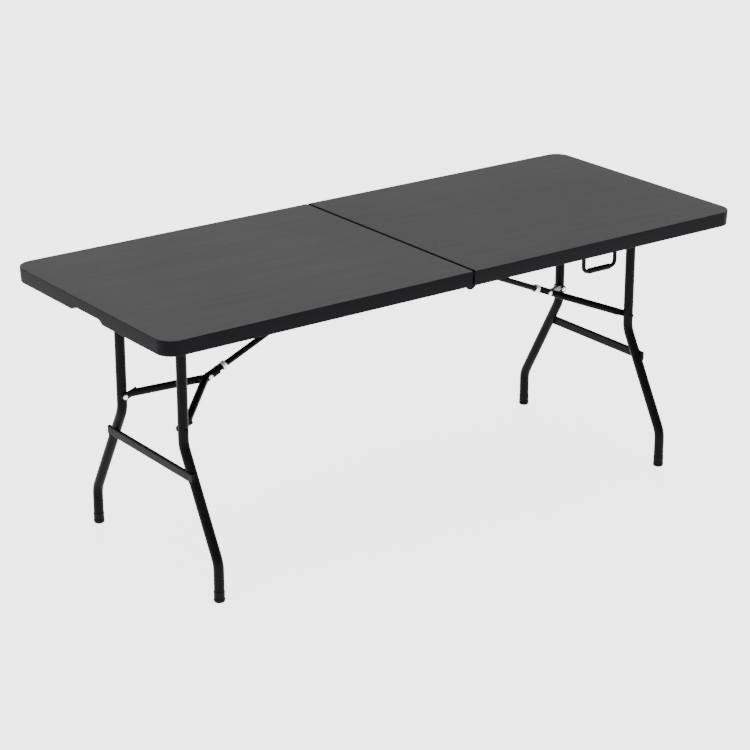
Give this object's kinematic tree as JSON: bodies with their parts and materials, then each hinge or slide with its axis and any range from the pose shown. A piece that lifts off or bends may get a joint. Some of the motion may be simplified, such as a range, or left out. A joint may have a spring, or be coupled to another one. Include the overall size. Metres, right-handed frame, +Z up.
{
  "type": "folding table",
  "caption": "Rectangular fold-in-half table with a moulded top, splayed tube legs, folding Y braces with lock rings and a side carry handle.",
  "frame": {"origin": "on the floor under the middle of the opened tabletop", "axes": "+X along the length towards the half with the carry handle, +Y across the width away from the handle side, +Z up"},
  "size_m": [1.8196, 0.7396, 0.74],
  "materials": {
    "moulded_plastic": "fine matte mould texture",
    "black_plastic": "satin",
    "bright_zinc": "bright zinc",
    "black_powder_coat": "satin powder coat"
  },
  "bodies": {
    "right_half": {"tabletop_right": "moulded_plastic", "side_rail_right_near": "black_powder_coat", "side_rail_right_far": "black_powder_coat", "rail_screws_right": "bright_zinc", "centre_rod_right": "black_powder_coat", "rod_caps_right": "bright_zinc", "handle_clips": "black_plastic", "handle_screws": "bright_zinc"},
    "left_half": {"tabletop_left": "moulded_plastic", "side_rail_left_near": "black_powder_coat", "side_rail_left_far": "black_powder_coat", "rail_screws_left": "bright_zinc", "centre_rod_left": "black_powder_coat", "rod_caps_left": "bright_zinc"},
    "centre_links": {"centre_link_near": "black_powder_coat", "centre_link_far": "black_powder_coat"},
    "carry_handle": {"handle_bail": "black_powder_coat", "handle_grip": "black_plastic"},
    "right_legs": {"leg_axle_right": "black_powder_coat", "leg_right_near": "black_powder_coat", "leg_right_far": "black_powder_coat", "crossbar_right": "black_powder_coat", "foot_right_near": "black_plastic", "foot_right_far": "black_plastic", "leg_bolts_right": "black_powder_coat"},
    "right_link": {"link_tube_right": "black_powder_coat", "link_eye_right": "black_powder_coat"},
    "right_yoke": {"brace_channel_right": "black_powder_coat", "brace_arm_right_near": "black_powder_coat", "brace_arm_right_far": "black_powder_coat", "knee_rivet_right": "bright_zinc", "arm_rivets_right": "bright_zinc"},
    "right_ring": {"lock_ring_right": "bright_zinc"},
    "left_legs": {"leg_axle_left": "black_powder_coat", "leg_left_near": "black_powder_coat", "leg_left_far": "black_powder_coat", "crossbar_left": "black_powder_coat", "foot_left_near": "black_plastic", "foot_left_far": "black_plastic", "leg_bolts_left": "black_powder_coat"},
    "left_link": {"link_tube_left": "black_powder_coat", "link_eye_left": "black_powder_coat"},
    "left_yoke": {"brace_channel_left": "black_powder_coat", "brace_arm_left_near": "black_powder_coat", "brace_arm_left_far": "black_powder_coat", "knee_rivet_left": "bright_zinc", "arm_rivets_left": "bright_zinc"},
    "left_ring": {"lock_ring_left": "bright_zinc"}
  },
  "joints": [
    {"name": "centre_hinge_right", "type": "hinge", "parent": "right_half", "child": "centre_links", "pos_m": [0.0115, 0, 0.709], "axis": [0, -1, 0], "range_deg": [0, 90]},
    {"name": "centre_hinge_left", "type": "hinge", "parent": "centre_links", "child": "left_half", "pos_m": [-0.0115, 0, 0.709], "axis": [0, -1, 0], "range_deg": [0, 90]},
    {"name": "right_leg_fold", "type": "hinge", "parent": "right_half", "child": "right_legs", "pos_m": [0.735, 0, 0.7125], "axis": [0, 1, 0], "range_deg": [0, 90]},
    {"name": "right_brace_link", "type": "hinge", "parent": "right_half", "child": "right_link", "pos_m": [0.0115, 0, 0.709], "axis": [0, -1, 0], "range_deg": [0, 24.92]},
    {"name": "right_knee", "type": "hinge", "parent": "right_link", "child": "right_yoke", "pos_m": [0.56396, 0, 0.46986], "axis": [0, 1, 0], "range_deg": [0, 181.8]},
    {"name": "right_lock_ring_slide", "type": "slide", "parent": "right_link", "child": "right_ring", "axis": [-0.9177, 0, 0.3972], "range_m": [0, 0.04]},
    {"name": "left_leg_fold", "type": "hinge", "parent": "left_half", "child": "left_legs", "pos_m": [-0.735, 0, 0.7125], "axis": [0, -1, 0], "range_deg": [0, 90]},
    {"name": "left_brace_link", "type": "hinge", "parent": "left_half", "child": "left_link", "pos_m": [-0.0115, 0, 0.709], "axis": [0, 1, 0], "range_deg": [0, 24.92]},
    {"name": "left_knee", "type": "hinge", "parent": "left_link", "child": "left_yoke", "pos_m": [-0.56396, 0, 0.46986], "axis": [0, -1, 0], "range_deg": [0, 181.8]},
    {"name": "left_lock_ring_slide", "type": "slide", "parent": "left_link", "child": "left_ring", "axis": [0.9177, 0, 0.3972], "range_m": [0, 0.04]},
    {"name": "carry_handle_swing", "type": "hinge", "parent": "right_half", "child": "carry_handle", "pos_m": [0.4639, -0.3215, 0.708], "axis": [1, 0, 0], "range_deg": [0, 90]}
  ],
  "couplings": [
    {"joint": "right_brace_link", "follows": "right_leg_fold", "ratio": 0.27677},
    {"joint": "right_knee", "follows": "right_leg_fold", "ratio": 2.0192},
    {"joint": "left_brace_link", "follows": "left_leg_fold", "ratio": 0.27677},
    {"joint": "left_knee", "follows": "left_leg_fold", "ratio": 2.0192}
  ]
}
